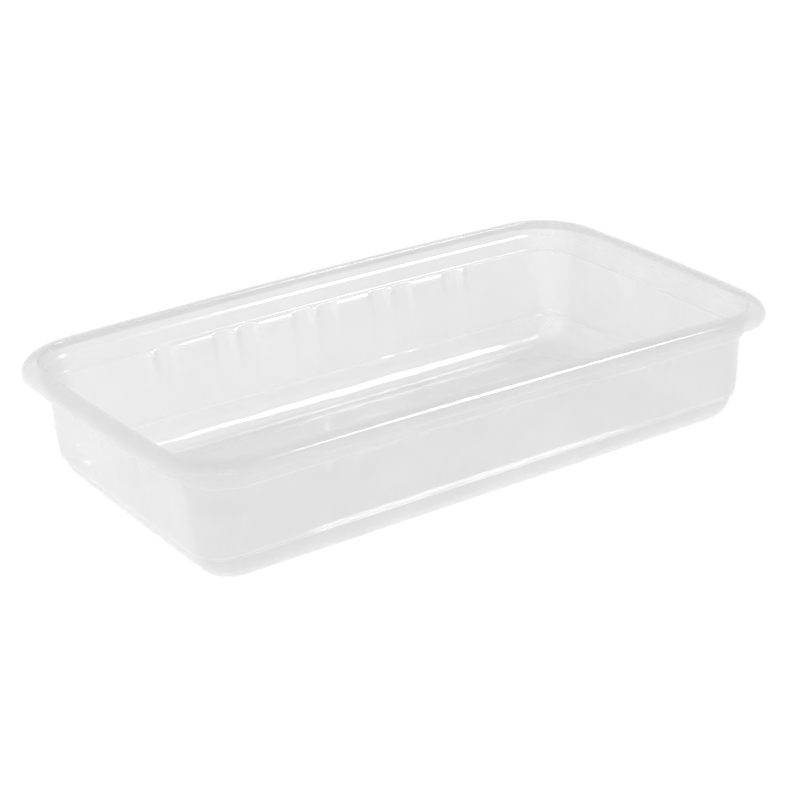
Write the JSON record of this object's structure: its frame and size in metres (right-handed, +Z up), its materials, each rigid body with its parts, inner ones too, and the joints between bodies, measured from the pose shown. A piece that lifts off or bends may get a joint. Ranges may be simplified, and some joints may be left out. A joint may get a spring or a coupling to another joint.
{
  "type": "rectangular plastic bowl",
  "caption": "Shallow rectangular bowl of thin clear plastic sheet, with rounded corners, a turned-down lip, stepped ledges, fluted walls and a foot ledge over a rounded base.",
  "frame": {"origin": "middle of the bowl in plan, at the height of the table that its base rests on", "axes": "+X along the bowl's long side, +Y across it, +Z up out of its mouth"},
  "size_m": [0.242, 0.135, 0.047],
  "materials": {
    "clear_sheet": "clear glossy sheet"
  },
  "bodies": {
    "root": {"tray": "clear_sheet"}
  },
  "joints": []
}
